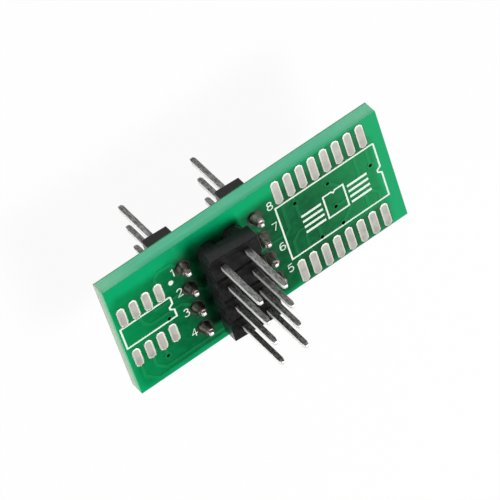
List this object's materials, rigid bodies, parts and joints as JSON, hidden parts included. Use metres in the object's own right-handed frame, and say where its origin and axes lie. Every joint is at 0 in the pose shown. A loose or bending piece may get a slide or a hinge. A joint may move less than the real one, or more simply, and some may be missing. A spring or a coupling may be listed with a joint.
{
  "type": "ic test clip adapter board",
  "caption": "Flat green adapter board for an in-circuit test clip: a cable pin header on its front, socket pins below and bare solder lands for small-outline chips.",
  "frame": {"origin": "centre of the pin field, level with the tips of the eight socket pins that the board stands on", "axes": "+Z out of the board's front face, +X along the board towards the sixteen-land footprint, +Y across it"},
  "size_m": [0.0285, 0.0129, 0.0187],
  "materials": {
    "laminate": "woven glass epoxy",
    "copper": "bare copper under the mask",
    "solder_mask": "green, semi-gloss",
    "solder_mask_back": "green, semi-gloss",
    "tin": "levelled tin",
    "solder": "bright solder",
    "print_ink": "white print",
    "header_plastic": "moulded black",
    "pin_metal": "tinned, drawn"
  },
  "bodies": {
    "root": {"board_core": "laminate", "front_tracks": "copper", "back_tracks": "copper", "front_mask": "solder_mask", "back_mask": "solder_mask_back", "via_plating": "copper", "dip_hole_plating": "copper", "cable_hole_plating": "copper", "soic8_lands": "tin", "soic16_lands": "tin", "printed_outlines": "print_ink", "cable_header_body": "header_plastic", "dip_header_body_left": "header_plastic", "dip_header_body_right": "header_plastic", "dip_pin_1": "pin_metal", "dip_pin_2": "pin_metal", "dip_pin_3": "pin_metal", "dip_pin_4": "pin_metal", "dip_pin_5": "pin_metal", "dip_pin_6": "pin_metal", "dip_pin_7": "pin_metal", "dip_pin_8": "pin_metal", "cable_pin_1": "pin_metal", "cable_pin_2": "pin_metal", "cable_pin_3": "pin_metal", "cable_pin_4": "pin_metal", "cable_pin_5": "pin_metal", "cable_pin_6": "pin_metal", "cable_pin_7": "pin_metal", "cable_pin_8": "pin_metal", "dip_joint_1": "solder", "dip_joint_2": "solder", "dip_joint_3": "solder", "dip_joint_4": "solder", "dip_joint_5": "solder", "dip_joint_6": "solder", "dip_joint_7": "solder", "dip_joint_8": "solder", "cable_joint_1": "solder", "cable_joint_2": "solder", "cable_joint_3": "solder", "cable_joint_4": "solder", "cable_joint_5": "solder", "cable_joint_6": "solder", "cable_joint_7": "solder", "cable_joint_8": "solder"}
  },
  "joints": []
}
